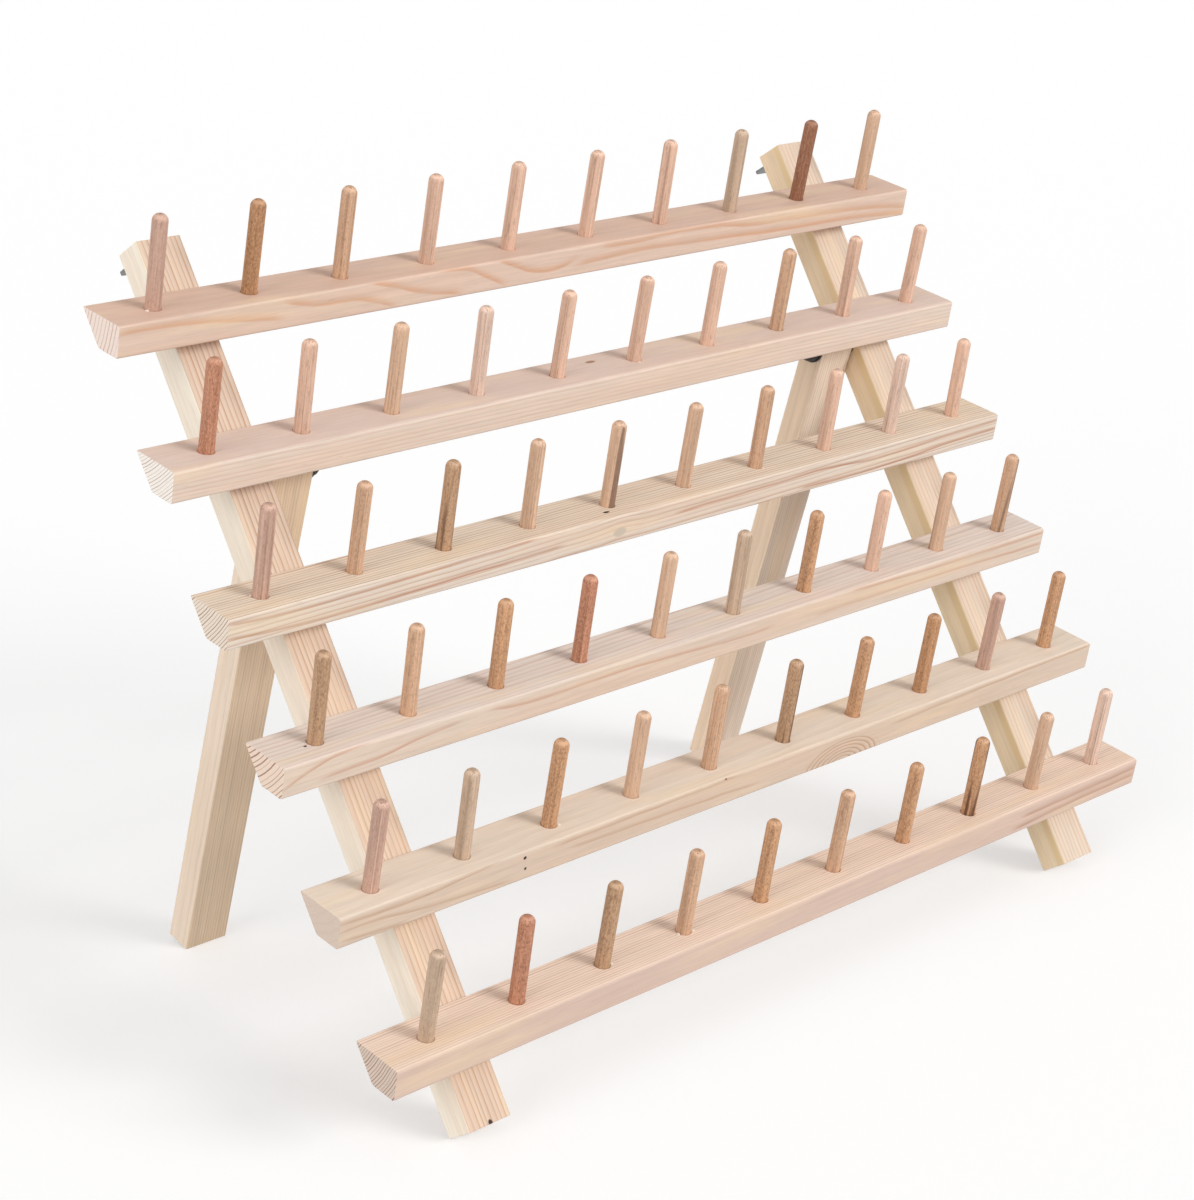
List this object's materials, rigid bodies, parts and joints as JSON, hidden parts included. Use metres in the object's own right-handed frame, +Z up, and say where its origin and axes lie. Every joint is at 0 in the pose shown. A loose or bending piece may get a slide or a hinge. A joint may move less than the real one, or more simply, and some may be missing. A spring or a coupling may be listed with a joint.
{
  "type": "thread rack",
  "caption": "Leaning wooden rack with six bars of upright pegs for thread spools, held up by two hinged legs that fold flat behind it.",
  "frame": {"origin": "on the ground, under the middle of the rack's bounding box", "axes": "+X along the bars to the right, +Y from the front to the back, +Z up"},
  "size_m": [0.43, 0.2064, 0.3109],
  "materials": {
    "pine_rails": "planed unfinished pine",
    "pine_bars": "planed unfinished pine",
    "pine_legs": "planed unfinished pine",
    "dowels": "plain hardwood dowel",
    "black_steel": "black coated",
    "zinc_steel": "zinc plated"
  },
  "bodies": {
    "rack_frame": {"rail_left": "pine_rails", "pivot_screw_left": "black_steel", "pivot_washer_left": "black_steel", "spacer_washer_left": "zinc_steel", "hanging_tab_left": "zinc_steel", "rail_right": "pine_rails", "pivot_screw_right": "black_steel", "pivot_washer_right": "black_steel", "spacer_washer_right": "zinc_steel", "hanging_tab_right": "zinc_steel", "bar_1": "pine_bars", "pegs_row_1": "dowels", "bar_2": "pine_bars", "pegs_row_2": "dowels", "bar_3": "pine_bars", "pegs_row_3": "dowels", "bar_4": "pine_bars", "pegs_row_4": "dowels", "bar_5": "pine_bars", "pegs_row_5": "dowels", "bar_6": "pine_bars", "pegs_row_6": "dowels", "bar_screws": "zinc_steel", "tab_screws": "zinc_steel"},
    "left_leg": {"leg_left": "pine_legs"},
    "right_leg": {"leg_right": "pine_legs"}
  },
  "joints": [
    {"name": "left_leg_hinge", "type": "hinge", "parent": "rack_frame", "child": "left_leg", "pos_m": [-0.1525, 0.0384, 0.21301], "axis": [-1, 0, 0], "range_deg": [0, 48.6]},
    {"name": "right_leg_hinge", "type": "hinge", "parent": "rack_frame", "child": "right_leg", "pos_m": [0.1525, 0.0384, 0.21301], "axis": [-1, 0, 0], "range_deg": [0, 48.6]}
  ]
}
